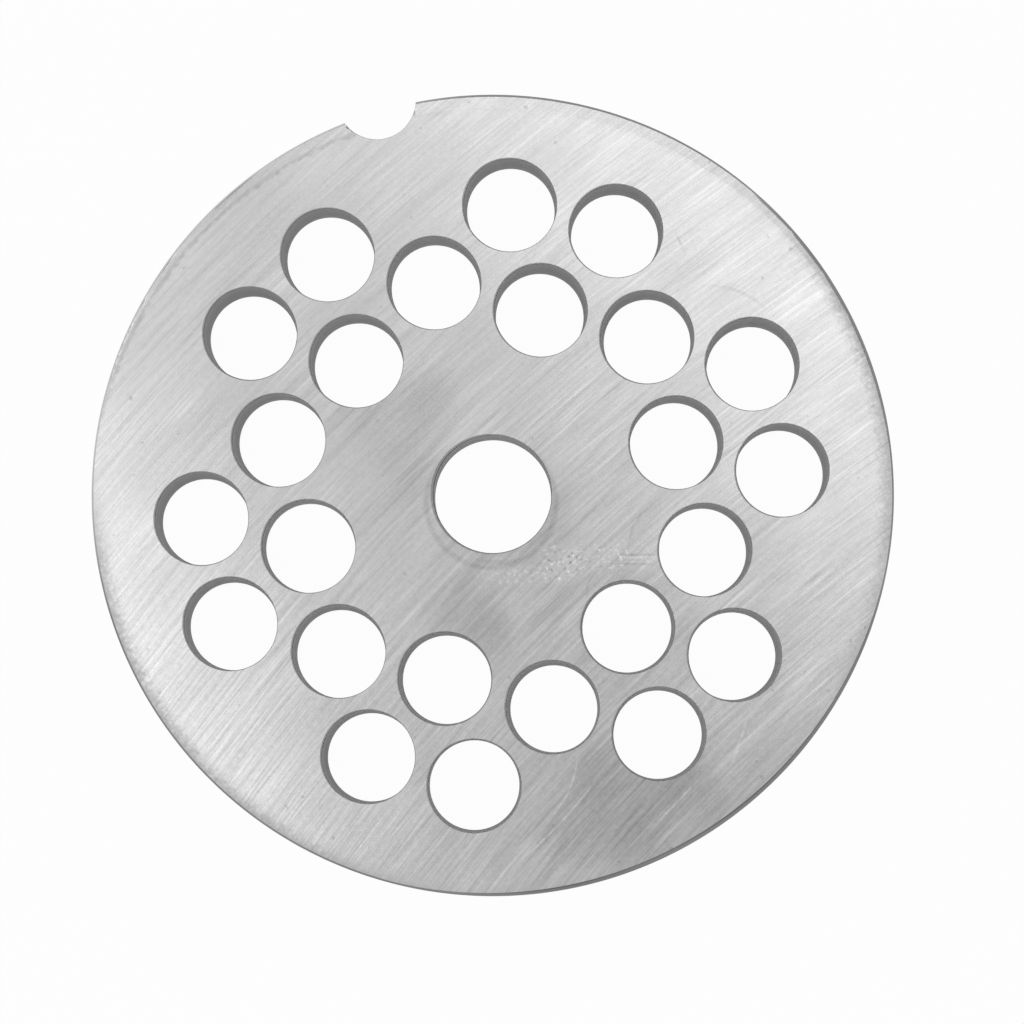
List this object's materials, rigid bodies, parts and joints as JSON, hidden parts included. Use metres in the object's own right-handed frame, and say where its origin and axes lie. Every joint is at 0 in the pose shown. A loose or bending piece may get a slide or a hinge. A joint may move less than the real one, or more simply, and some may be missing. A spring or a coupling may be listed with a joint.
{
  "type": "meat grinder plate",
  "caption": "Flat round steel mincing plate with a central bore, a field of coarse round holes and a half-round locating notch in the rim.",
  "frame": {"origin": "centre of the bore at the back face", "axes": "+Z along the bore axis from the back face to the worn front face, +Y from the bore towards the rim notch"},
  "size_m": [0.082, 0.0818, 0.0095],
  "materials": {
    "ground_steel": "surface-ground, scratched and worn"
  },
  "bodies": {
    "root": {"grinder_plate": "ground_steel"}
  },
  "joints": []
}
